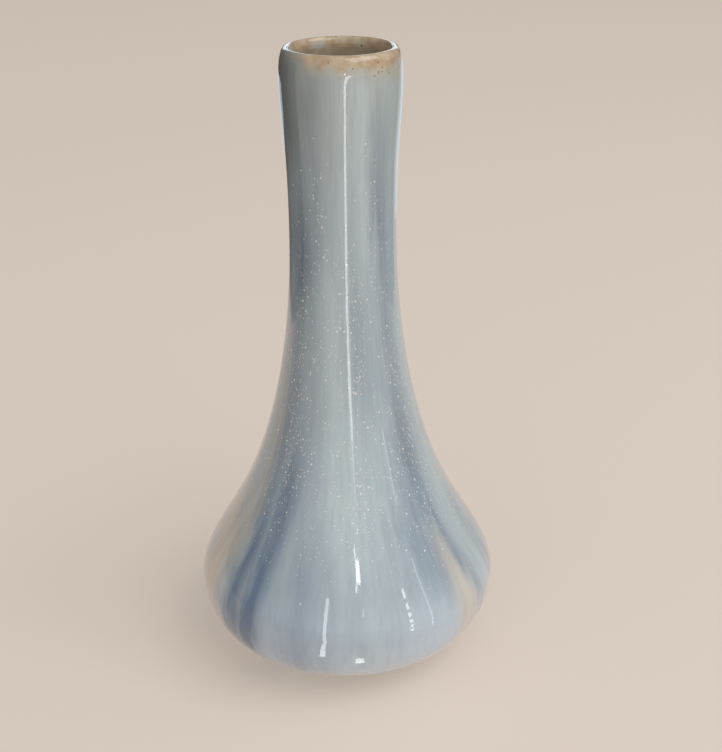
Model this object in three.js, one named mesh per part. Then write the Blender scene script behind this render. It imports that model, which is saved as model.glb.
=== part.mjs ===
// Bud vase: a thrown stoneware bottle with a slender neck that flares to a low, wide belly.
// It stands on an unglazed foot ring. Glaze covers the rest: a streaked blue coat outside, a thin
// ochre band where it breaks over the lip, a beige liner inside and a pool in the foot's recess.
// Millimetres, +Z up, origin on the table under the middle of the foot.

import * as THREE from 'three';

// ---- Driving dimensions -------------------------------------------------------------------

const HEIGHT = 189.3;                    // table to the crest of the lip

// Outside, over the glaze. A lean is the angle between the wall and the vertical.
const FOOT = { radius: 25.7, inner: 20.4, height: 2.0, chamfer: 0.5 };
const UNDERSIDE_LEAN = 66;               // wall leaving the foot ring
const BELLY = { radius: 46.2, z: 25.5 }; // the widest ring
const FLARE = { radius: 32.4, z: 53.6, lean: 27.5 };
const NECK = { radius: 15.5, z: 139 };   // the narrowest ring
const LIP = { radius: 17.1, z: 182, crest: 14.9 };

// Inside, over the liner
const MOUTH = { radius: 13.6, z: 186.4 };
const BORE = { radius: 12.2, z: 142 };
const INSIDE_FLARE = { radius: 27.6, z: 52.0, lean: 27 };
const CHAMBER = { radius: 41.4, z: 27.5 };
const FLOOR = { z: 8.4, radius: 26 };    // flat of the inside floor

// Coats
const OUTER_GLAZE = 0.6;
const LINER_GLAZE = 0.5;
const RECESS = { depth: 2.6, radius: 19.6, glaze: 0.5 };

// How far each curve holds its direction at its two ends, which sets how full it is
const REACH = {
  underside: [12, 14], shoulder: [6.7, 14.7], flare: [26.2, 29.6], neck: [28, 14], rim: [4.2, 1.5],
  mouth: [0.8, 1.8], bore: [12, 18], insideFlare: [34, 25], chamberWall: [14, 6.5], chamberFloor: [11, 10],
};

const SEGMENTS = 36;                     // facets around the axis

// ---- Profile curves -----------------------------------------------------------------------

const point = (radius, z) => new THREE.Vector2(radius, z);
const UP = point(0, 1);
const DOWN = point(0, -1);
const INWARD = point(-1, 0);

// Direction of a wall going up that leans in towards the axis, or out from it when negative
function leaning(degrees) {
  const angle = THREE.MathUtils.degToRad(degrees);
  return point(-Math.sin(angle), Math.cos(angle));
}

// Smooth curve from one ring to the next: it leaves along one direction and arrives along another
function sweep(from, leave, to, arrive, reach, steps) {
  const first = from.clone().addScaledVector(leave, reach[0]);
  const last = to.clone().addScaledVector(arrive, -reach[1]);
  return new THREE.CubicBezierCurve(from, first, last, to).getPoints(steps);
}

// Joins curves end to end, dropping the shared ends
function chain(...curves) {
  return curves.flatMap((curve, index) => (index === 0 ? curve : curve.slice(1)));
}

// Outside of the vase, from the foot ring up to the crest of the lip
function outsideProfile() {
  const foot = point(FOOT.radius, FOOT.height);
  const belly = point(BELLY.radius, BELLY.z);
  const flare = point(FLARE.radius, FLARE.z);
  const neck = point(NECK.radius, NECK.z);
  const lip = point(LIP.radius, LIP.z);
  const crest = point(LIP.crest, HEIGHT);
  const flareDirection = leaning(FLARE.lean);
  return chain(
    sweep(foot, leaning(-UNDERSIDE_LEAN), belly, UP, REACH.underside, 6),
    sweep(belly, UP, flare, flareDirection, REACH.shoulder, 6),
    sweep(flare, flareDirection, neck, UP, REACH.flare, 6),
    sweep(neck, UP, lip, UP, REACH.neck, 4),
    sweep(lip, UP, crest, INWARD, REACH.rim, 4),
  );
}

// Inside of the vase, from the crest of the lip down to the middle of the floor
function insideProfile() {
  const crest = point(LIP.crest, HEIGHT);
  const mouth = point(MOUTH.radius, MOUTH.z);
  const bore = point(BORE.radius, BORE.z);
  const flare = point(INSIDE_FLARE.radius, INSIDE_FLARE.z);
  const chamber = point(CHAMBER.radius, CHAMBER.z);
  const floorEdge = point(FLOOR.radius, FLOOR.z);
  const flareDirection = leaning(INSIDE_FLARE.lean).negate();
  return chain(
    sweep(crest, INWARD, mouth, DOWN, REACH.mouth, 3),
    sweep(mouth, DOWN, bore, DOWN, REACH.bore, 3),
    sweep(bore, DOWN, flare, flareDirection, REACH.insideFlare, 6),
    sweep(flare, flareDirection, chamber, DOWN, REACH.chamberWall, 4),
    sweep(chamber, DOWN, floorEdge, INWARD, REACH.chamberFloor, 4),
    [floorEdge, point(0, FLOOR.z)],
  );
}

// Where a coat meets the clay: each point moved to the left of the profile's direction of travel
function under(profile, coatThickness) {
  return profile.map((here, index) => {
    const before = profile[Math.max(index - 1, 0)];
    const after = profile[Math.min(index + 1, profile.length - 1)];
    const along = after.clone().sub(before).normalize();
    const thickness = coatThickness(index);
    return point(Math.max(here.x - along.y * thickness, 0), here.y + along.x * thickness);
  });
}

// ---- The skin and the clay under it, which share their rings --------------------------------

const outside = outsideProfile();
const inside = insideProfile();
const skin = chain(outside, inside);
const crestIndex = outside.length - 1;
const clay = under(skin, (index) => (index <= crestIndex ? OUTER_GLAZE : LINER_GLAZE));
// The outer coat's lower edge butts against the side of the foot ring
clay[0] = point(FOOT.radius, FOOT.height + OUTER_GLAZE);
clay[clay.length - 1].x = 0;

// The ochre band runs over the crest, from the lip's widest ring to the rounding of the mouth
const bandStart = skin.findIndex((ring) => ring.y >= LIP.z);
const bandEnd = skin.findIndex((ring, index) => index > crestIndex && ring.y <= MOUTH.z);

// ---- Solids ---------------------------------------------------------------------------------

// Turned solid from a profile of radius and height, made about Y and stood up on Z
function turned(name, profile, look) {
  const geometry = new THREE.LatheGeometry(profile, SEGMENTS);
  geometry.rotateX(Math.PI / 2);
  const mesh = new THREE.Mesh(geometry, new THREE.MeshStandardMaterial(look));
  mesh.name = name;
  return mesh;
}

// Coat between the skin and the clay over a run of rings, as a closed loop
function coatLoop(first, last) {
  const face = skin.slice(first, last + 1);
  const back = clay.slice(first, last + 1).reverse();
  return [...face, ...back, face[0]];
}

// Buff stoneware: the recess and foot ring below, then the wall out, over the lip and back in
function clayBody() {
  const foot = [
    point(0, RECESS.depth),
    point(RECESS.radius, RECESS.depth),
    point(FOOT.inner, FOOT.chamfer),
    point(FOOT.inner + FOOT.chamfer, 0),
    point(FOOT.radius - FOOT.chamfer, 0),
    point(FOOT.radius, FOOT.chamfer),
  ];
  return turned('clay_body', [...foot, ...clay], { color: 0xb9a58a, roughness: 0.85, metalness: 0 });
}

// Streaked grey-blue coat from the foot ring to the lip band
function outerGlaze() {
  const look = { color: 0x93a3b0, roughness: 0.15, metalness: 0 };
  return turned('outer_glaze', coatLoop(0, bandStart), look);
}

// Ochre band where the glaze breaks thin over the lip
function lipGlaze() {
  const look = { color: 0xb09572, roughness: 0.18, metalness: 0 };
  return turned('lip_glaze', coatLoop(bandStart, bandEnd), look);
}

// Beige liner down the bore and over the chamber; its loop opens on the axis
function linerGlaze() {
  const face = skin.slice(bandEnd);
  const back = clay.slice(bandEnd).reverse();
  const look = { color: 0xa8987c, roughness: 0.2, metalness: 0 };
  return turned('liner_glaze', [...back, ...face], look);
}

// Pool of glaze in the recess inside the foot ring, kept clear of the table
function baseGlaze() {
  const face = RECESS.depth - RECESS.glaze;
  const edge = RECESS.radius - RECESS.glaze;
  const profile = [
    point(0, face),
    point(edge - RECESS.glaze, face),
    point(edge, RECESS.depth),
    point(0, RECESS.depth),
  ];
  return turned('base_glaze', profile, { color: 0x8799a8, roughness: 0.2, metalness: 0 });
}

const vase = new THREE.Group();
vase.add(clayBody(), outerGlaze(), lipGlaze(), linerGlaze(), baseGlaze());

export default vase;
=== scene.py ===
# Bud vase: a thrown stoneware bottle under streaked blue glaze, with an ochre lip and a beige liner.
# It is put together from the clay, the coat outside, the lip, the liner and the pool under the foot.
# Metres, +Z up, origin on the table. Bearings run round the axis from the front (-Y) towards +X.

import math

import bpy
import numpy as np
from mathutils import Matrix, Vector


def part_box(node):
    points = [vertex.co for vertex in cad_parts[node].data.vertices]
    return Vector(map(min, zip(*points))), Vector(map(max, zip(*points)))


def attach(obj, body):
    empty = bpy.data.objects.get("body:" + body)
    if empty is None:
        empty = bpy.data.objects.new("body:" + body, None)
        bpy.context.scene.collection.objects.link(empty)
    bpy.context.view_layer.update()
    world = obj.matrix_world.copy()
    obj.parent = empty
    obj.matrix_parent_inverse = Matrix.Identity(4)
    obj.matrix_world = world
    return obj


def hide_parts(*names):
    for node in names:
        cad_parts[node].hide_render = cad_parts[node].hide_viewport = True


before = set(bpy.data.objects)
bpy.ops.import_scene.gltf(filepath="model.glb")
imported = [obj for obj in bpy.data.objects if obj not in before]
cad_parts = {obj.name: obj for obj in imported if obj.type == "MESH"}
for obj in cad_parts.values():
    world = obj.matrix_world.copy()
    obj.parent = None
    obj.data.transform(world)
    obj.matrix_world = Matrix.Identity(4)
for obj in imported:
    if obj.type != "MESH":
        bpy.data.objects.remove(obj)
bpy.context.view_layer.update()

# ---- Clay body -----------------------------------------------------------------------------------
# One wall of buff stoneware, thrown on the wheel with a foot ring turned under it. It shows only at
# the foot, where the glaze was wiped off before firing: matt, sandy and specked with iron.

MM = 0.001

skin_low, skin_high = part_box("outer_glaze")
lip_low, lip_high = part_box("lip_glaze")
base_low, base_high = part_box("base_glaze")

height = lip_high[2]                 # table to the crest of the lip
belly_radius = skin_high[0]          # the widest ring
lip_radius = lip_high[0]             # the lip's own widest ring
lip_start = lip_low[2]               # where the ochre band begins, outside
foot_line = skin_low[2]              # the glaze's lower edge
pool_radius = base_high[0]           # glaze in the recess under the foot
recess_top = base_high[2]

# Rings of the profile as (radius, height), and in degrees how far the wall leans from upright there
BELLY_Z = 25.5 * MM
UNDERSIDE_LEAN = 66
FLARE = (32.4 * MM, 53.6 * MM)
FLARE_LEAN = 27.5
NECK = (15.5 * MM, 139 * MM)
CREST_RADIUS = 14.9 * MM
FOOT_RADIUS = 25.7 * MM
FOOT_INNER = 20.4 * MM
FOOT_CHAMFER = 0.5 * MM
MOUTH = (13.6 * MM, 186.4 * MM)
BORE = (12.2 * MM, 142 * MM)
INSIDE_FLARE = (27.6 * MM, 52.0 * MM)
INSIDE_LEAN = 27.0
CHAMBER = (41.4 * MM, 27.5 * MM)
FLOOR_EDGE = (26 * MM, 8.4 * MM)
OUTER_COAT = 0.6 * MM
LINER_COAT = 0.5 * MM
POOL_GAP = 0.5 * MM                  # bare clay between the pool of glaze and the recess's wall
SIDES = 320                          # facets round the axis
MOUTH_STEPS = 14                     # rings from the crest to the mouth
CREASE = 35                          # edges sharper than this stay crisp, in degrees
TINY = 1e-9                          # closer than this counts as the same place

UP, DOWN, INWARD = (0, 1), (0, -1), (-1, 0)


def leaning(degrees):
    """Direction up a wall that leans in towards the axis, or out from it when negative."""
    return (-math.sin(math.radians(degrees)), math.cos(math.radians(degrees)))


def sweep(start, leave, leave_reach, end, arrive, arrive_reach, steps):
    """Smooth curve from one ring to the next, leaving along one direction and arriving along another.

    The two reaches, in mm, are how far it holds each direction.
    """
    p0, p3 = np.array(start), np.array(end)
    p1 = p0 + leave_reach * MM * np.array(leave)
    p2 = p3 - arrive_reach * MM * np.array(arrive)
    t = np.linspace(0, 1, steps + 1)[:, None]
    return (1 - t) ** 3 * p0 + 3 * (1 - t) ** 2 * t * p1 + 3 * (1 - t) * t * t * p2 + t ** 3 * p3


def chain(*curves):
    """Joins curves end to end, dropping the shared ends."""
    return np.vstack([curve if i == 0 else curve[1:] for i, curve in enumerate(curves)])


def under(profile, thickness):
    """The profile of the clay under a coat: every ring moved to the left of the direction of travel."""
    along = np.gradient(profile, axis=0)
    along /= np.linalg.norm(along, axis=1)[:, None]
    moved = profile + np.stack([-along[:, 1], along[:, 0]], axis=1) * np.reshape(thickness, (-1, 1))
    moved[:, 0] = np.maximum(moved[:, 0], 0)
    return moved


flare_up = leaning(FLARE_LEAN)
outside = chain(
    sweep((FOOT_RADIUS, foot_line), leaning(-UNDERSIDE_LEAN), 12, (belly_radius, BELLY_Z), UP, 14, 44),
    sweep((belly_radius, BELLY_Z), UP, 6.7, FLARE, flare_up, 14.7, 36),
    sweep(FLARE, flare_up, 26.2, NECK, UP, 29.6, 60),
    sweep(NECK, UP, 28, (lip_radius, lip_start), UP, 14, 30),
    sweep((lip_radius, lip_start), UP, 4.2, (CREST_RADIUS, height), INWARD, 1.5, 20),
)
flare_down = tuple(-part for part in leaning(INSIDE_LEAN))
inside = chain(
    sweep((CREST_RADIUS, height), INWARD, 0.8, MOUTH, DOWN, 1.8, MOUTH_STEPS),
    sweep(MOUTH, DOWN, 12, BORE, DOWN, 18, 24),
    sweep(BORE, DOWN, 34, INSIDE_FLARE, flare_down, 25, 36),
    sweep(INSIDE_FLARE, flare_down, 14, CHAMBER, DOWN, 6.5, 18),
    sweep(CHAMBER, DOWN, 11, FLOOR_EDGE, INWARD, 10, 20),
    np.linspace(FLOOR_EDGE, (0, FLOOR_EDGE[1]), 12),
)
skin = chain(outside, inside)
crest_row = len(outside) - 1
coat = np.where(np.arange(len(skin)) <= crest_row, OUTER_COAT, LINER_COAT)
clay = under(skin, coat)
# The outer coat's lower edge butts against the side of the foot ring, and the floor ends on the axis
clay[0] = (FOOT_RADIUS, foot_line + OUTER_COAT)
clay[-1, 0] = 0
# The lip's band runs from its widest ring over the crest to the mouth
band_start = int(np.argmax(outside[:, 1] >= lip_start - TINY))
band_end = crest_row + MOUTH_STEPS


def turn(name, loop, shape=None):
    """Solid turned round the axis from a loop of (radius, height); shape may move its points."""
    loop = np.asarray(loop, dtype=float)
    on_axis = loop[:, 0] < TINY
    open_loop = on_axis[0] and on_axis[-1]
    bearing = np.arange(SIDES) / SIDES * 2 * math.pi
    rings, verts = [], []
    for (radius, z), pole in zip(loop, on_axis):
        if pole:
            rings.append([len(verts)] * SIDES)
            verts.append((0.0, 0.0, z))
            continue
        rows = np.full(SIDES, radius), np.full(SIDES, z)
        if shape is not None:
            rows = shape(radius, z, bearing)
        first = len(verts)
        verts.extend(zip(rows[0] * np.sin(bearing), -rows[0] * np.cos(bearing), rows[1]))
        rings.append(range(first, first + SIDES))
    faces = []
    pairs = list(zip(rings[:-1], rings[1:])) + ([] if open_loop else [(rings[-1], rings[0])])
    for low, high in pairs:
        for i in range(SIDES):
            j = (i + 1) % SIDES
            corners = [low[i], low[j], high[j], high[i]]
            face = [c for k, c in enumerate(corners) if c not in corners[:k]]
            if len(face) > 2:
                faces.append(face)
    mesh = bpy.data.meshes.new(name)
    mesh.from_pydata([tuple(map(float, v)) for v in verts], [], faces)
    mesh.shade_smooth()
    mesh.set_sharp_from_angle(angle=math.radians(CREASE))
    piece = bpy.data.objects.new(name, mesh)
    bpy.context.collection.objects.link(piece)
    return piece


def rounded(centre, start_angle):
    """Quarter round of the foot ring's edge, about a centre, from an angle on by 90 degrees."""
    angles = np.radians(np.linspace(start_angle, start_angle + 90, 6))
    return np.array(centre) + FOOT_CHAMFER * np.stack([np.cos(angles), np.sin(angles)], axis=1)


# The recess runs out to the ring; two shallow marks of the turning tool go round the ring's flat
recess_radius = pool_radius + POOL_GAP
mark_radii = (22.3 * MM, 23.7 * MM)
mark_width, mark_depth = 0.25 * MM, 0.07 * MM
marks = [(radius + step * mark_width, depth) for radius in mark_radii
         for step, depth in ((-1, 0), (0, mark_depth), (1, 0))]
foot_loop = np.vstack([
    [(0, recess_top), (0.5 * recess_radius, recess_top), (recess_radius, recess_top)],
    rounded((FOOT_INNER + FOOT_CHAMFER, FOOT_CHAMFER), 180),
    marks,
    rounded((FOOT_RADIUS - FOOT_CHAMFER, FOOT_CHAMFER), 270),
])
clay_piece = turn("clay_wall", np.vstack([foot_loop, clay]))
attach(clay_piece, "root")
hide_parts("clay_body")


def new_material(name):
    """Empty material with a Principled shader; returns it, its node tree and the shader."""
    material = bpy.data.materials.new(name)
    material.use_nodes = True
    tree = material.node_tree
    tree.nodes.clear()
    out = tree.nodes.new("ShaderNodeOutputMaterial")
    shader = tree.nodes.new("ShaderNodeBsdfPrincipled")
    tree.links.new(shader.outputs["BSDF"], out.inputs["Surface"])
    return material, tree, shader


def put(tree, kind, feeds=(), **settings):
    """Adds a shader node; feeds fill its inputs, each with a value or with another node's output."""
    node = tree.nodes.new("ShaderNode" + kind)
    for key, value in settings.items():
        setattr(node, key, value)
    for key, value in dict(feeds).items():
        if isinstance(value, bpy.types.NodeSocket):
            tree.links.new(value, node.inputs[key])
        else:
            node.inputs[key].default_value = value
    return node


def sum_of(tree, operation, a, b=0.0, c=0.0, clamp=False):
    """One arithmetic step; returns its result."""
    return put(tree, "Math", {0: a, 1: b, 2: c}, operation=operation, use_clamp=clamp).outputs[0]


def fade(tree, value, start, end, low=0.0, high=1.0):
    """Eases from low to high while value goes from start to end."""
    feeds = {"Value": value, "From Min": start, "From Max": end, "To Min": low, "To Max": high}
    return put(tree, "MapRange", feeds, interpolation_type="SMOOTHSTEP").outputs["Result"]


def blend_colour(tree, amount, first, second):
    """Mixes two colours."""
    mix = put(tree, "Mix", data_type="RGBA")
    for key, value in ((0, amount), (6, first), (7, second)):
        if isinstance(value, bpy.types.NodeSocket):
            tree.links.new(value, mix.inputs[key])
        else:
            mix.inputs[key].default_value = value
    return mix.outputs[2]


def new_group(name, inputs, outputs):
    """Shader node group with named sockets; returns the group, its input node and its output node."""
    group = bpy.data.node_groups.new(name, "ShaderNodeTree")
    for socket, kind, default in inputs:
        item = group.interface.new_socket(socket, in_out="INPUT", socket_type="NodeSocket" + kind)
        if default is not None:
            item.default_value = default
    for socket, kind in outputs:
        group.interface.new_socket(socket, in_out="OUTPUT", socket_type="NodeSocket" + kind)
    return group, group.nodes.new("NodeGroupInput").outputs, group.nodes.new("NodeGroupOutput").inputs


def use_group(tree, group, feeds=()):
    """Places a node group and returns its outputs."""
    node = tree.nodes.new("ShaderNodeGroup")
    node.node_tree = group
    for key, value in dict(feeds).items():
        if isinstance(value, bpy.types.NodeSocket):
            tree.links.new(value, node.inputs[key])
        else:
            node.inputs[key].default_value = value
    return node.outputs


# Where a point lies on the vase: its bearing in degrees, its height in millimetres, and a drawn-out
# place that keeps noise long down the wall and narrow round it, as glaze that ran in the kiln.
place_group, _, place_out = new_group("place on the vase", [], [
    ("Bearing", "Float"), ("Height", "Float"), ("Drawn Out", "Vector"), ("Point", "Vector")])
where = put(place_group, "TexCoord").outputs["Object"]
axes = put(place_group, "SeparateXYZ", {0: where}).outputs
facing = sum_of(place_group, "MULTIPLY", axes["Y"], -1.0)
turned_by = sum_of(place_group, "ARCTAN2", axes["X"], facing)
radius_here = sum_of(place_group, "SQRT", sum_of(place_group, "ADD", sum_of(
    place_group, "MULTIPLY", axes["X"], axes["X"]), sum_of(place_group, "MULTIPLY", facing, facing)))
place_group.links.new(sum_of(place_group, "MULTIPLY", turned_by, 180 / math.pi), place_out["Bearing"])
place_group.links.new(sum_of(place_group, "DIVIDE", axes["Z"], MM), place_out["Height"])
drawn = put(place_group, "CombineXYZ", {
    "X": sum_of(place_group, "DIVIDE", axes["X"], radius_here),
    "Y": sum_of(place_group, "DIVIDE", axes["Y"], radius_here),
    "Z": sum_of(place_group, "MULTIPLY", axes["Z"], 5.0)}).outputs[0]
place_group.links.new(drawn, place_out["Drawn Out"])
place_group.links.new(where, place_out["Point"])

# Scattered grains: one in so many cells of the surface holds a small spot with a soft edge.
grain_group, grain_in, grain_out = new_group("scattered grains", [
    ("Point", "Vector", None), ("Cells", "Float", 600.0), ("Spot", "Float", 0.3), ("Share", "Float", 0.3)],
    [("Mask", "Float")])
cells = put(grain_group, "TexVoronoi", {"Vector": grain_in["Point"], "Scale": grain_in["Cells"]})
pick = put(grain_group, "SeparateColor", {0: cells.outputs["Color"]}).outputs
chosen = sum_of(grain_group, "LESS_THAN", pick[0], grain_in["Share"])
spot_size = sum_of(grain_group, "MULTIPLY", grain_in["Spot"], fade(grain_group, pick[1], 0, 1, 0.45, 1.0))
spot = fade(grain_group, cells.outputs["Distance"], spot_size,
            sum_of(grain_group, "MULTIPLY", spot_size, 0.5))
grain_group.links.new(sum_of(grain_group, "MULTIPLY", spot, chosen), grain_out["Mask"])

BUFF_DEEP, BUFF_PALE = (0.40, 0.31, 0.21, 1), (0.55, 0.45, 0.33, 1)
SAND, CLAY_IRON = (0.30, 0.23, 0.16, 1), (0.10, 0.055, 0.03, 1)
clay_material, tree, clay_shader = new_material("buff stoneware")
place = use_group(tree, place_group)
sand = put(tree, "TexNoise", {"Vector": place["Point"], "Scale": 900.0, "Detail": 4.0}).outputs["Fac"]
flush = put(tree, "TexNoise", {"Vector": place["Point"], "Scale": 60.0, "Detail": 3.0}).outputs["Fac"]
iron = use_group(tree, grain_group, {"Point": place["Point"], "Cells": 700.0, "Spot": 0.35, "Share": 0.12})
buff = blend_colour(tree, fade(tree, flush, 0.35, 0.65), BUFF_DEEP, BUFF_PALE)
buff = blend_colour(tree, fade(tree, sand, 0.35, 0.7, 0.0, 0.5), buff, SAND)
buff = blend_colour(tree, iron["Mask"], buff, CLAY_IRON)
tree.links.new(buff, clay_shader.inputs["Base Color"])
tree.links.new(fade(tree, sand, 0.3, 0.7, 0.78, 0.95), clay_shader.inputs["Roughness"])
clay_bump = put(tree, "Bump", {"Height": sand, "Strength": 0.5, "Distance": 0.2 * MM}).outputs["Normal"]
tree.links.new(clay_bump, clay_shader.inputs["Normal"])
clay_piece.data.materials.append(clay_material)

# ---- Outer glaze ---------------------------------------------------------------------------------
# A thick glossy reactive coat, dipped and fired until it ran: slate blue where it pooled in long
# runs, grey-green and pale between them, cream where it is thin, with fine crystals over the blue.

RIDGE_DEPTH = 0.035 * MM             # of the ridges down the wall
RING_DEPTH = 0.012 * MM              # of the rings round it
EDGE_WAVER = 0.35 * MM               # how far the wiped edge at the foot strays upwards


def ring_key(radius, z):
    """Key of a ring, by which the coat's outside is told from its back."""
    return round(radius, 9), round(z, 9)


def ran(radius, z, bearing):
    """Low ridges left by the runs, and the faint rings of the throwing; they only lower the skin."""
    ridges = (np.sin(9 * bearing + 1.3) + 0.7 * np.sin(17 * bearing + 0.4 + 9 * z)
              + 0.5 * np.sin(31 * bearing + 2.1 - 14 * z)) / 2.2
    rings = 0.5 * np.sin(z / (4.1 * MM)) + 0.5 * np.sin(z / (6.7 * MM) + 1.0)
    drop = RIDGE_DEPTH * (ridges - 1) + RING_DEPTH * (rings - 1)
    return radius + drop, np.full_like(bearing, z)


def ran_outside(radius, z, bearing):
    """Moves the outside of the coat and wavers its wiped edge at the foot; its back keeps to the clay."""
    if ring_key(radius, z) in outside_keys:
        return ran(radius, z, bearing)
    lift = 0
    if radius == FOOT_RADIUS and z == foot_line:
        lift = EDGE_WAVER * (0.5 + 0.3 * np.sin(7 * bearing) + 0.2 * np.sin(19 * bearing + 1))
    return np.full_like(bearing, radius), np.full_like(bearing, z) + lift


outside_keys = {ring_key(radius, z) for radius, z in outside[1:]}
outer_loop = np.vstack([skin[:band_start + 1], clay[band_start::-1]])
outer_piece = turn("streaked_coat", outer_loop, ran_outside)
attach(outer_piece, "root")
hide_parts("outer_glaze")

# One run of glaze: a soft-edged band between two heights whose bearing drifts on the way down. Its
# ends fade over these shares of its length, above and below.
TOP_FADE, FOOT_FADE = 0.25, 0.22
run_group, run_in, run_out = new_group("run of glaze", [
    ("Bearing", "Float", 0.0), ("Height", "Float", 0.0), ("Top Bearing", "Float", 0.0),
    ("Foot Bearing", "Float", 0.0), ("Bow", "Float", 0.0), ("Half Width", "Float", 8.0),
    ("Top", "Float", 180.0), ("Foot", "Float", 20.0), ("Strength", "Float", 1.0)], [("Mask", "Float")])
down = put(run_group, "MapRange", {"Value": run_in["Height"], "From Min": run_in["Top"],
                                   "From Max": run_in["Foot"]}).outputs["Result"]
middle = put(run_group, "MapRange", {"Value": down, "To Min": run_in["Top Bearing"],
                                     "To Max": run_in["Foot Bearing"]}).outputs["Result"]
bulge = sum_of(run_group, "MULTIPLY", down, sum_of(run_group, "SUBTRACT", 1.0, down))
middle = sum_of(run_group, "MULTIPLY_ADD", sum_of(run_group, "MULTIPLY", bulge, 4.0), run_in["Bow"], middle)
aside = sum_of(run_group, "DIVIDE", sum_of(run_group, "SUBTRACT", run_in["Bearing"], middle),
               run_in["Half Width"])
fall = sum_of(run_group, "MULTIPLY", sum_of(run_group, "MULTIPLY", aside, aside), -1.0)
across = sum_of(run_group, "EXPONENT", fall)
length = sum_of(run_group, "SUBTRACT", run_in["Top"], run_in["Foot"])
spill = sum_of(run_group, "MULTIPLY", length, TOP_FADE)
drip = sum_of(run_group, "MULTIPLY", length, FOOT_FADE)
above = fade(run_group, run_in["Height"], sum_of(run_group, "ADD", run_in["Top"], spill),
             sum_of(run_group, "SUBTRACT", run_in["Top"], spill))
below = fade(run_group, run_in["Height"], sum_of(run_group, "SUBTRACT", run_in["Foot"], drip),
             sum_of(run_group, "ADD", run_in["Foot"], drip))
ends = sum_of(run_group, "MULTIPLY", above, below)
run_group.links.new(sum_of(run_group, "MULTIPLY", sum_of(run_group, "MULTIPLY", across, ends),
                           run_in["Strength"]), run_out["Mask"])

# Runs, listed one by one. In each row: bearing at the top and at the foot, bow and half width in degrees,
# heights of the top and the foot in mm, and strength. The slate and umber runs are dark.
SLATE_AND_SHADE_RUNS = [
    (-38, -41, 0, 10, 178, 120, 0.35), (-45, -52, 0, 15, 150, 60, 0.66), (-48, -53, 0, 4.2, 55, 10, 0.85),
    (-34, -42, -1, 5, 71, 8, 0.95), (-27, -24, 0, 8, 176, 128, 0.25), (39, 38, 0, 10, 180, 142, 0.38),
    (44, 52, 1, 10, 158, 66, 0.48), (47, 43, 0, 10, 80, 34, 0.45), (54, 66, 0, 3.2, 62, 18, 0.45),
    (31, 33, 0, 8, 92, 40, 0.2), (12, 14, 0, 8, 150, 88, 0.22), (-20, -22, 0, 7, 52, 6, 0.4),
    (-8, -9, 0, 6, 46, 8, 0.22), (5, 4, 0, 5, 42, 22, 0.2), (18, 16, 0, 7, 44, 20, 0.14),
    # The wide run low on the left, from 30 mm down to the foot, is painted shadow under the left of the
    # belly.
    (-70, -74, 0, 4, 60, 34, 0.2), (-46, -50, 0, 15, 30, 3, 0.35),
    (96, 92, 0, 8, 176, 96, 0.4), (104, 98, 3, 9, 110, 24, 0.6), (128, 134, 0, 7, 150, 40, 0.5),
    (146, 150, -4, 10, 90, 18, 0.65), (171, 166, 0, 8, 170, 70, 0.4), (-176, -168, 3, 7, 84, 20, 0.6),
    (-150, -148, 0, 9, 160, 60, 0.5), (-134, -142, 0, 6, 70, 18, 0.6), (-116, -112, 4, 10, 128, 30, 0.55),
    (-94, -98, 0, 6, 96, 28, 0.4), (78, 84, 0, 5, 56, 20, 0.3),
]
PALE_RUNS = [
    (-14, -6, 2, 12, 132, 44, 0.55), (19, 18, 0, 9, 188, 126, 0.45), (30, 29, 0, 10, 92, 58, 0.45),
    (9, 13, 0, 12, 96, 16, 0.35), (74, 73, 0, 12, 128, 34, 0.3), (1, 2, 0, 6, 186, 120, 0.3),
    (116, 118, 0, 11, 120, 40, 0.5), (160, 158, 0, 8, 110, 40, 0.4), (-160, -158, 0, 8, 76, 24, 0.5),
    (-124, -126, 0, 8, 100, 50, 0.4), (140, 138, 0, 9, 185, 120, 0.4), (-105, -104, 0, 9, 186, 130, 0.3),
]
CREAM_RUNS = [
    (-63, -60, 0, 8, 112, 40, 0.4), (-76, -64, 0, 10, 52, 8, 0.85), (50, 59, 0, 7, 53, 10, 0.62),
    (84, 76, 0, 10, 30, 8, 0.5), (-45, -51, 0, 1.4, 37, 17, 0.6),
    (122, 124, 0, 5, 46, 12, 0.7), (-156, -154, 0, 5, 44, 12, 0.7), (-108, -106, 0, 4, 40, 12, 0.5),
    (178, 180, 0, 4, 50, 16, 0.5),
]
UMBER_AND_SHADE_RUNS = [
    # These runs are partly a darker glaze and partly painted shade and painted dark reflection, high on the
    # left of the neck and lip.
    (-66, -66, 0, 27, 212, 162, 0.78), (-58, -60, 0, 14, 165, 130, 0.25), (-25, -28, 0, 14, 206, 172, 0.25),
    (150, 140, 0, 20, 200, 170, 0.4),
]


def runs(tree, bearing, height_mm, rows):
    """All the runs of one colour together, as one mask."""
    names = ("Top Bearing", "Foot Bearing", "Bow", "Half Width", "Top", "Foot", "Strength")
    together = 0.0
    for row in rows:
        feeds = dict(zip(names, map(float, row)))
        mask = use_group(tree, run_group, {"Bearing": bearing, "Height": height_mm, **feeds})["Mask"]
        together = sum_of(tree, "ADD", together, mask)
    return sum_of(tree, "MINIMUM", together, 1.0)


PALE, CREAM, UMBER_AND_SHADE = (0.47, 0.54, 0.545, 1), (0.60, 0.50, 0.38, 1), (0.11, 0.115, 0.115, 1)
SLATE_LOW, SLATE_HIGH = (0.12, 0.17, 0.245, 1), (0.155, 0.195, 0.235, 1)
CRYSTAL = (0.80, 0.74, 0.66, 1)
# The ground between the runs: share of GROUND_HEIGHT, in mm, and colour
# Its pale lowest stop is painted light from the floor on the underside; the stops over the flare are
# darkened, a painted shade against the light the flare catches facing up.
GROUND_AND_LIGHT = [(0.06, (0.56, 0.64, 0.73, 1)), (0.20, (0.325, 0.385, 0.41, 1)), (0.42, (0.30, 0.355, 0.385, 1)),
          (0.70, (0.33, 0.39, 0.42, 1)), (0.95, (0.36, 0.40, 0.39, 1))]
GROUND_HEIGHT = 190.0

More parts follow.
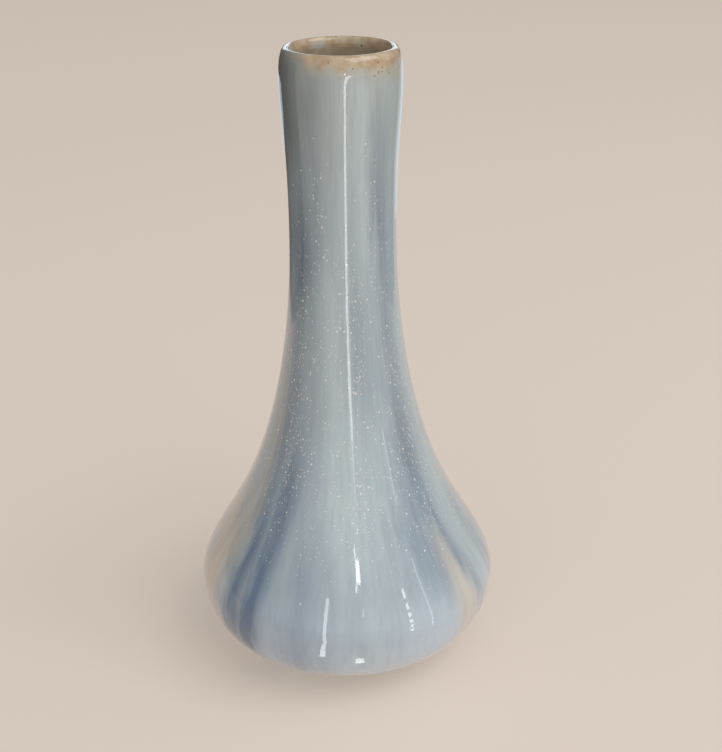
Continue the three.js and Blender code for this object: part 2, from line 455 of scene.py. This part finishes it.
# Colour of the streaked glaze, and how thickly it lies, for the coat and for the lip above it
streak_group, _, streak_out = new_group("streaked glaze", [], [
    ("Color", "Color"), ("Thickness", "Float"), ("Crystals", "Float")])
tree = streak_group
place = use_group(tree, place_group)
wander = put(tree, "TexNoise", {"Vector": place["Drawn Out"], "Scale": 2.2, "Detail": 3.0}).outputs["Fac"]
broad = put(tree, "TexNoise", {"Vector": place["Drawn Out"], "Scale": 7.0, "Detail": 4.0,
                               "Roughness": 0.6}).outputs["Fac"]
fine = put(tree, "TexNoise", {"Vector": place["Drawn Out"], "Scale": 18.0, "Detail": 3.0,
                              "Roughness": 0.6}).outputs["Fac"]
bearing = sum_of(tree, "ADD", place["Bearing"], fade(tree, wander, 0.2, 0.8, -2.5, 2.5))
bearing = sum_of(tree, "ADD", bearing, fade(tree, fine, 0.2, 0.8, -1.0, 1.0))
height_mm = sum_of(tree, "ADD", place["Height"], fade(tree, broad, 0.2, 0.8, -5.0, 5.0))
slate_and_shade = runs(tree, bearing, height_mm, SLATE_AND_SHADE_RUNS)
pale = runs(tree, bearing, height_mm, PALE_RUNS)
cream = runs(tree, bearing, height_mm, CREAM_RUNS)
umber_and_shade = runs(tree, bearing, height_mm, UMBER_AND_SHADE_RUNS)
slate_and_shade = sum_of(tree, "MULTIPLY", slate_and_shade, fade(tree, broad, 0.25, 0.7, 0.75, 1.15))
slate_and_shade = sum_of(tree, "ADD", slate_and_shade, fade(tree, fine, 0.42, 0.75, 0.0, 0.13), clamp=True)
pale = sum_of(tree, "ADD", pale, fade(tree, fine, 0.55, 0.3, 0.0, 0.10), clamp=True)
# Colour of the ground by height, with its painted light under the belly and painted shade over the flare.
ground_and_light = put(tree, "ValToRGB", {0: sum_of(tree, "DIVIDE", place["Height"], GROUND_HEIGHT)})
stops = ground_and_light.color_ramp.elements
stops[0].position, stops[0].color = GROUND_AND_LIGHT[0]
stops[1].position, stops[1].color = GROUND_AND_LIGHT[-1]
for position, colour in GROUND_AND_LIGHT[1:-1]:
    stops.new(position).color = colour
colour = blend_colour(tree, pale, ground_and_light.outputs["Color"], PALE)
colour = blend_colour(tree, cream, colour, CREAM)
# The blue is greyer on the neck, where the coat is thinner
slate_colour = blend_colour(tree, fade(tree, place["Height"], 35, 90), SLATE_LOW, SLATE_HIGH)
# The slate mask also holds the painted shadow low on the left of the belly.
colour = blend_colour(tree, slate_and_shade, colour, slate_colour)
# Umber: partly a darker glaze, partly painted shade and painted dark reflection on the upper left.
colour = blend_colour(tree, umber_and_shade, colour, UMBER_AND_SHADE)
# Fine crystals float in the blue and are drawn a little down the wall
DRAWN_DOWN = (1.0, 1.0, 0.7)
long_point = put(tree, "VectorMath", {0: place["Point"], 1: DRAWN_DOWN}, operation="MULTIPLY").outputs[0]
zone = sum_of(tree, "MULTIPLY", fade(tree, place["Height"], 32, 72), fade(tree, place["Height"], 172, 118))
crowd = put(tree, "TexNoise", {"Vector": place["Drawn Out"], "Scale": 3.0, "Detail": 2.0}).outputs["Fac"]
amount = sum_of(tree, "MULTIPLY", zone, fade(tree, crowd, 0.36, 0.62, 0.3, 1.0))
amount = sum_of(tree, "MULTIPLY", amount, fade(tree, slate_and_shade, 0.0, 0.4, 0.45, 1.0))
small = use_group(tree, grain_group, {"Point": long_point, "Cells": 1650.0, "Spot": 0.42,
                                      "Share": sum_of(tree, "MULTIPLY", amount, 0.8)})
large = use_group(tree, grain_group, {"Point": long_point, "Cells": 900.0, "Spot": 0.30,
                                      "Share": sum_of(tree, "MULTIPLY", amount, 0.9)})
crystals = sum_of(tree, "MAXIMUM", sum_of(tree, "MULTIPLY", small["Mask"], 0.6), large["Mask"])
colour = blend_colour(tree, sum_of(tree, "MULTIPLY", crystals, 0.75), colour, CRYSTAL)
thickness = sum_of(tree, "ADD", sum_of(tree, "MULTIPLY", slate_and_shade, 0.6), sum_of(tree, "MULTIPLY", fine, 0.4))
tree.links.new(colour, streak_out["Color"])
tree.links.new(thickness, streak_out["Thickness"])
tree.links.new(crystals, streak_out["Crystals"])

# Where the glaze breaks thin over the lip it fires ochre, mottled and with a ragged lower edge, and
# the clay's iron comes through in dark spots
OCHRE_PALE, OCHRE_DEEP, OCHRE_FAINT = (0.43, 0.33, 0.215, 1), (0.34, 0.225, 0.125, 1), (0.37, 0.34, 0.27, 1)
IRON = (0.08, 0.045, 0.03, 1)
lip_group, _, lip_out = new_group("break over the lip", [], [("Mask", "Float"), ("Color", "Color")])
tree = lip_group
place = use_group(tree, place_group)
ragged = put(tree, "TexNoise", {"Vector": place["Point"], "Scale": 130.0, "Detail": 5.0}).outputs["Fac"]
mottle = put(tree, "TexNoise", {"Vector": place["Point"], "Scale": 330.0, "Detail": 5.0}).outputs["Fac"]
edge = sum_of(tree, "ADD", place["Height"], fade(tree, ragged, 0.2, 0.8, -2.2, 2.2))
# The coat stayed thicker on the left, so the ochre hardly shows there
thick_side = sum_of(tree, "MULTIPLY", fade(tree, place["Bearing"], -15, -50),
                    fade(tree, place["Bearing"], -120, -90))
edge = sum_of(tree, "MULTIPLY_ADD", thick_side, -5.0, edge)
ochre = sum_of(tree, "ADD", fade(tree, edge, 179.5, 187.5, 0.0, 0.6), fade(tree, edge, 185, 188, 0.0, 0.4))
tan = blend_colour(tree, fade(tree, mottle, 0.38, 0.68), OCHRE_PALE, OCHRE_DEEP)
tan = blend_colour(tree, fade(tree, edge, 187.5, 180), tan, OCHRE_FAINT)
flecks = use_group(tree, grain_group, {"Point": place["Point"], "Cells": 700.0, "Spot": 0.32, "Share": 0.10})
# A few iron spots, mostly on the right of the front: bearing in degrees, height in mm
IRON_SPOTS = [(37.5, 187.2), (37, 184.8), (40.5, 184.7), (41.5, 185.8), (50, 184), (32.5, 183.9), (12, 186.2)]
MM_PER_DEGREE = 0.3                  # round the lip
spots = 0.0
for spot_bearing, spot_height in IRON_SPOTS:
    aside = sum_of(tree, "MULTIPLY", sum_of(tree, "SUBTRACT", place["Bearing"], spot_bearing), MM_PER_DEGREE)
    along = sum_of(tree, "SUBTRACT", place["Height"], spot_height)
    squared = sum_of(tree, "MULTIPLY_ADD", aside, aside, sum_of(tree, "MULTIPLY", along, along))
    spots = sum_of(tree, "MAXIMUM", spots, fade(tree, squared, 0.10, 0.02, 0.0, 0.8))
tan = blend_colour(tree, sum_of(tree, "MAXIMUM", flecks["Mask"], spots), tan, IRON)
ochre = sum_of(tree, "MAXIMUM", ochre, spots)
tree.links.new(ochre, lip_out["Mask"])
tree.links.new(tan, lip_out["Color"])

# How the molten surface set: faint orange peel, with the crystals just under the gloss
set_group, set_in, set_out = new_group("set surface", [
    ("Thickness", "Float", 0.5), ("Crystals", "Float", 0.0)], [("Height", "Float"), ("Roughness", "Float")])
tree = set_group
place = use_group(tree, place_group)
peel = put(tree, "TexNoise", {"Vector": place["Point"], "Scale": 240.0, "Detail": 2.0}).outputs["Fac"]
sag = put(tree, "TexNoise", {"Vector": place["Drawn Out"], "Scale": 9.0, "Detail": 2.0}).outputs["Fac"]
level = sum_of(tree, "ADD", sum_of(tree, "MULTIPLY", peel, 0.25), sum_of(tree, "MULTIPLY", sag, 0.5))
level = sum_of(tree, "MULTIPLY_ADD", set_in["Thickness"], 0.25, level)
level = sum_of(tree, "MULTIPLY_ADD", set_in["Crystals"], 0.10, level)
tree.links.new(level, set_out["Height"])
tree.links.new(fade(tree, peel, 0.3, 0.7, 0.16, 0.24), set_out["Roughness"])


def glossy(tree, shader, thickness, crystals):
    """Gives a glaze its surface: a slightly soft body under a clear, hard gloss."""
    surface = use_group(tree, set_group, {"Thickness": thickness, "Crystals": crystals})
    bump = put(tree, "Bump", {"Height": surface["Height"], "Strength": 0.35, "Distance": 0.4 * MM})
    tree.links.new(bump.outputs["Normal"], shader.inputs["Normal"])
    tree.links.new(surface["Roughness"], shader.inputs["Roughness"])
    shader.inputs["Coat Weight"].default_value = 1.0
    shader.inputs["Coat Roughness"].default_value = 0.035
    shader.inputs["Specular IOR Level"].default_value = 0.15
    shader.inputs["IOR"].default_value = 1.5


outer_material, tree, outer_shader = new_material("streaked blue glaze")
streaks = use_group(tree, streak_group)
lip_break = use_group(tree, lip_group)
outer_colour = blend_colour(tree, lip_break["Mask"], streaks["Color"], lip_break["Color"])
tree.links.new(outer_colour, outer_shader.inputs["Base Color"])
glossy(tree, outer_shader, streaks["Thickness"], streaks["Crystals"])
outer_piece.data.materials.append(outer_material)

# ---- Lip -----------------------------------------------------------------------------------------
# The same coat drawn over the rounded rim. It ran off here in the kiln, so it is thin and fires to
# ochre over the clay, in a band from the lip's widest ring over the crest to the mouth.

lip_loop = np.vstack([skin[band_start:band_end + 1], clay[band_end:band_start - 1:-1]])
lip_piece = turn("lip_band", lip_loop, ran_outside)
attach(lip_piece, "root")
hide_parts("lip_glaze")
lip_material, tree, lip_shader = new_material("ochre lip glaze")
streaks = use_group(tree, streak_group)
lip_break = use_group(tree, lip_group)
lip_colour = blend_colour(tree, lip_break["Mask"], streaks["Color"], lip_break["Color"])
tree.links.new(lip_colour, lip_shader.inputs["Base Color"])
glossy(tree, lip_shader, streaks["Thickness"], streaks["Crystals"])
lip_piece.data.materials.append(lip_material)

# ---- Liner ---------------------------------------------------------------------------------------
# A beige glaze poured in, swilled round and poured out, so that the inside holds water. It is
# mottled, and darker and greener on the right of the inside, which is painted shade.

liner_loop = np.vstack([clay[:band_end - 1:-1], skin[band_end:]])
liner_piece = turn("inside_liner", liner_loop)
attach(liner_piece, "root")
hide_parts("liner_glaze")
BEIGE_DEEP, BEIGE_PALE = (0.29, 0.22, 0.14, 1), (0.42, 0.35, 0.26, 1)
SHADE_OLIVE, LINER_IRON = (0.16, 0.145, 0.095, 1), (0.12, 0.07, 0.04, 1)
liner_material, tree, liner_shader = new_material("beige liner glaze")
place = use_group(tree, place_group)
cloud = put(tree, "TexNoise", {"Vector": place["Point"], "Scale": 90.0, "Detail": 4.0}).outputs["Fac"]
beige = blend_colour(tree, fade(tree, cloud, 0.35, 0.65), BEIGE_DEEP, BEIGE_PALE)
# Painted shade: darker and greener on the right of the inside, away from the light.
shaded = sum_of(tree, "MULTIPLY", fade(tree, place["Bearing"], 60, 100),
                fade(tree, place["Bearing"], 165, 125))
beige = blend_colour(tree, sum_of(tree, "MULTIPLY", shaded, 0.6), beige, SHADE_OLIVE)
liner_iron = use_group(tree, grain_group, {
    "Point": place["Point"], "Cells": 400.0, "Spot": 0.2, "Share": 0.04})
beige = blend_colour(tree, liner_iron["Mask"], beige, LINER_IRON)
tree.links.new(beige, liner_shader.inputs["Base Color"])
glossy(tree, liner_shader, cloud, liner_iron["Mask"])
liner_piece.data.materials.append(liner_material)

# ---- Base glaze ----------------------------------------------------------------------------------
# A shallow pool of the blue glaze, left in the recess when the foot ring was wiped clean. Its face is
# a little hollow, with a low bead near its rim, and it stays clear of the table.

pool_face = base_low[2]
# Rings of its underside: share of the radius, and how far the glaze lies above its lowest ring, in mm
POOL_RINGS = [(0, 0.16), (0.25, 0.15), (0.5, 0.12), (0.7, 0.07), (0.85, 0.02), (0.93, 0), (0.97, 0.06),
              (0.99, 0.2)]
pool_face_rings = [(share * pool_radius, pool_face + rise * MM) for share, rise in POOL_RINGS]
base_piece = turn("recess_pool", pool_face_rings + [(pool_radius, recess_top), (0, recess_top)])
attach(base_piece, "root")
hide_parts("base_glaze")
POOL_DEEP, POOL_PALE = (0.16, 0.21, 0.27, 1), (0.38, 0.44, 0.47, 1)
POOL_CRYSTAL = (0.7, 0.64, 0.52, 1)
base_material, tree, base_shader = new_material("pooled blue glaze")
place = use_group(tree, place_group)
swirl = put(tree, "TexNoise", {"Vector": place["Point"], "Scale": 70.0, "Detail": 5.0}).outputs["Fac"]
pool = blend_colour(tree, fade(tree, swirl, 0.35, 0.65), POOL_DEEP, POOL_PALE)
pool_grains = use_group(tree, grain_group, {
    "Point": place["Point"], "Cells": 600.0, "Spot": 0.3, "Share": 0.2})
pool = blend_colour(tree, sum_of(tree, "MULTIPLY", pool_grains["Mask"], 0.6), pool, POOL_CRYSTAL)
tree.links.new(pool, base_shader.inputs["Base Color"])
glossy(tree, base_shader, swirl, pool_grains["Mask"])
base_piece.data.materials.append(base_material)

# ---- Floor, light and camera ---------------------------------------------------------------------
# A plain pale floor, a studio dome that is brighter in front on the right, and one large softbox high
# on that side. The cards and screens are the studio's lights and flags: only the gloss shows them.

FLOOR_REACH = 3.0
floor_mesh = bpy.data.meshes.new("floor")
floor_corners = [(x * FLOOR_REACH, y * FLOOR_REACH, 0) for x, y in ((-1, -1), (1, -1), (1, 1), (-1, 1))]
floor_mesh.from_pydata(floor_corners, [], [(0, 1, 2, 3)])
floor = bpy.data.objects.new("floor", floor_mesh)
bpy.context.collection.objects.link(floor)
floor_material, tree, floor_shader = new_material("pale floor")
floor_shader.inputs["Base Color"].default_value = (0.42, 0.36, 0.315, 1)
floor_shader.inputs["Emission Color"].default_value = (0.30, 0.26, 0.225, 1)
floor_shader.inputs["Emission Strength"].default_value = 1.0
floor_shader.inputs["Roughness"].default_value = 0.7
floor_shader.inputs["Specular IOR Level"].default_value = 0.0
floor.data.materials.append(floor_material)

world = bpy.data.worlds.new("studio")
world.use_nodes = True
sky = world.node_tree
dome = sky.nodes["Background"]
dome.inputs["Color"].default_value = (0.97, 0.985, 1.0, 1)
BRIGHT_SIDE = (0.42, -0.85, 0.30)
toward = put(sky, "TexCoord").outputs["Generated"]
key_side = put(sky, "VectorMath", {0: toward, 1: BRIGHT_SIDE}, operation="DOT_PRODUCT").outputs["Value"]
sky.links.new(fade(sky, key_side, -0.9, 0.9, 0.08, 1.0), dome.inputs["Strength"])
bpy.context.scene.world = world

softbox = bpy.data.objects.new("softbox", bpy.data.lights.new("softbox", "AREA"))
softbox.data.shape = "RECTANGLE"
softbox.data.size, softbox.data.size_y = 1.2, 0.8
softbox.data.energy = 8
softbox.location = (0.7, -0.5, 1.1)
softbox.rotation_euler = (Vector((0, 0, 0.1)) - softbox.location).to_track_quat("-Z", "Y").to_euler()
softbox.visible_camera = False
bpy.context.collection.objects.link(softbox)


def at(bearing_degrees, distance, z):
    """Point at a bearing and a distance from the axis."""
    angle = math.radians(bearing_degrees)
    return (distance * math.sin(angle), -distance * math.cos(angle), z)


def upright(bearing_degrees, distance, width, low, high):
    """Corners of a card that stands facing the vase."""
    half = math.degrees(width / 2 / distance)
    return [at(bearing_degrees + side * half, distance, z)
            for side, z in ((-1, low), (1, low), (1, high), (-1, high))]


def lying(bearing_degrees, width, near, far):
    """Corners of a card that lies on the floor and points at the vase."""
    return [at(bearing_degrees + side * math.degrees(width / 2 / distance), distance, CARD_LIFT)
            for side, distance in ((-1, near), (1, near), (1, far), (-1, far))]


def card(name, corners, colour, strength, faces=None):
    """Card that only the gloss sees: one flat face, or the faces given."""
    mesh = bpy.data.meshes.new(name)
    mesh.from_pydata(corners, [], faces or [tuple(range(len(corners)))])
    board = bpy.data.objects.new(name, mesh)
    bpy.context.collection.objects.link(board)
    material = bpy.data.materials.new(name)
    material.use_nodes = True
    glow = material.node_tree.nodes.new("ShaderNodeEmission")
    glow.inputs["Color"].default_value = colour
    glow.inputs["Strength"].default_value = strength
    out = material.node_tree.nodes["Material Output"]
    material.node_tree.links.new(glow.outputs[0], out.inputs["Surface"])
    mesh.materials.append(material)
    board.visible_camera = False
    board.visible_diffuse = False
    board.visible_shadow = False
    board.visible_transmission = False


def ribbon(name, y, rows, strength, hook_z=math.inf):
    """Upright ribbon of light in front, from rows of place across, height and half width (mm).

    Above the height hook_z its right edge hangs lower by the half width, so that it turns a corner.
    """
    left = [((x - half) * MM, y, z * MM) for x, z, half in rows]
    right = [((x + half) * MM, y, (z - half if z > hook_z else z) * MM) for x, z, half in rows]
    card(name, left + right[::-1], WHITE, strength)


def screen(name, distance, rows, colour, strength):
    """Curved screen round the vase, from rows of bearing (degrees) and its lower edge (mm) and top (mm)."""
    corners = [at(bearing_degrees, distance, z * MM)
               for bearing_degrees, low, high in rows for z in (low, high)]
    faces = [(2 * i, 2 * i + 2, 2 * i + 3, 2 * i + 1) for i in range(len(rows) - 1)]
    card(name, corners, colour, strength, faces)


CARD_LIFT = 1 * MM                   # of a card that lies on the floor
WHITE, COOL = (1, 0.99, 0.97, 1), (0.80, 0.92, 1.0, 1)
DARK, GREY = (0.045, 0.032, 0.028, 1), (0.16, 0.16, 0.15, 1)
WARM = (1.0, 0.86, 0.62, 1)

# The line down the neck, which hooks to the right at the top; then its fainter tail over the flare,
# from a slimmer light further off
ribbon("neck_light", -0.098, [
    (18.4, 82.4, 1.6), (18.6, 84, 2.3), (17, 90, 3.8), (14.8, 100, 5), (14.9, 111, 5), (15, 127, 4.5),
    (15, 150, 4), (15.6, 164, 4), (17.5, 172, 4.4), (22, 178, 4.6), (32, 182, 2.2)], 6.5, hook_z=160)
ribbon("tail_light", -0.2, [
    (38.6, 85.5, 2.6), (39.8, 89, 2.4), (41.2, 95, 2), (41.8, 101, 1.6), (42, 106, 0.9)], 4)
# The bright patch under the line, and the small tick near the foot
card("belly_light", upright(10.4, 0.30, 0.016, 0.1805, 0.190), WHITE, 16)
card("belly_light_low", upright(8.4, 0.30, 0.008, 0.174, 0.180), WHITE, 10)
card("tick_light", lying(6.5, 0.004, 0.052, 0.058), WHITE, 6)
# Narrow lights close to the belly: one on the left, then a row of dashes and a line on the right
NEAR_BELLY = 0.12
card("left_streak", upright(-13.0, NEAR_BELLY, 0.0038, 0.0, 0.077), WHITE, 7)
card("left_streak_foot", lying(-12.5, 0.003, 0.060, NEAR_BELLY), WHITE, 7)
DASHES, FIRST_DASH, DASH_PITCH, DASH_LENGTH = 6, 0.006, 0.012, 0.007
for step in range(DASHES):
    low = FIRST_DASH + DASH_PITCH * step
    card(f"dash_{step}", upright(39.5, NEAR_BELLY, 0.004, low, low + DASH_LENGTH), WHITE, 9)
card("right_line", upright(53, NEAR_BELLY, 0.0025, 0.0, 0.078), COOL, 4)
# A dark screen behind on the left with a pale one before it, a grey one on the right, and a bright
# cool board on the floor beyond it
SCREEN_TOP = 205
DARK_FOOT = [(-87, 94), (-96, 83), (-107, 75.5), (-118, 72.5), (-128, 71.5), (-138, 72.5), (-147, 78),
             (-155, 95)]
PALE_ROWS = [(-139, 138, 152), (-146, 130, 156), (-155, 124, 157), (-172, 119, 158)]
GREY_FOOT = [(88, 95), (97, 84), (110, 78), (122, 77), (131, 82)]
screen("dark_screen", 0.14, [(*row, SCREEN_TOP) for row in DARK_FOOT], DARK, 1.0)
screen("pale_screen", 0.135, PALE_ROWS, COOL, 0.85)
screen("grey_screen", 0.14, [(*row, SCREEN_TOP) for row in GREY_FOOT], GREY, 1.0)
BOARD_CORNERS = [(0.36, 0.52), (0.33, 0.40), (0.26, 0.37), (0.15, 0.42), (0.03, 0.52), (0.02, 1.2),
                 (0.8, 1.3)]
card("bright_board", [(x, y, CARD_LIFT) for x, y in BOARD_CORNERS], COOL, 0.95)
# A window far behind, for the bright line round the rim, and a small warm lamp overhead
card("back_window", [(-0.6, 1.4, 0.35), (0.6, 1.4, 0.35), (0.6, 1.4, 0.9), (-0.6, 1.4, 0.9)], COOL, 1.7)
card("warm_lamp", [(0.30, 0.07, 1.15), (0.42, 0.07, 1.15), (0.42, 0.12, 1.15), (0.30, 0.12, 1.15)], WARM, 14)

# The camera looks down at the vase from in front, with a very slight roll
CAMERA_PLACE = (4.9 * MM, -357 * MM, 254 * MM)
camera = bpy.data.objects.new("camera", bpy.data.cameras.new("camera"))
bpy.context.collection.objects.link(camera)
camera.data.lens = 62.2
camera.data.sensor_width = 36
tilt, roll = math.radians(24.56), math.radians(-0.47)
level_up = Vector((0, math.sin(tilt), math.cos(tilt)))
right = math.cos(roll) * Vector((1, 0, 0)) + math.sin(roll) * level_up
up = -math.sin(roll) * Vector((1, 0, 0)) + math.cos(roll) * level_up
back = right.cross(up)
camera.matrix_world = Matrix.Translation(CAMERA_PLACE) @ Matrix((right, up, back)).transposed().to_4x4()
bpy.context.scene.camera = camera
bpy.context.scene.view_settings.view_transform = "Standard"
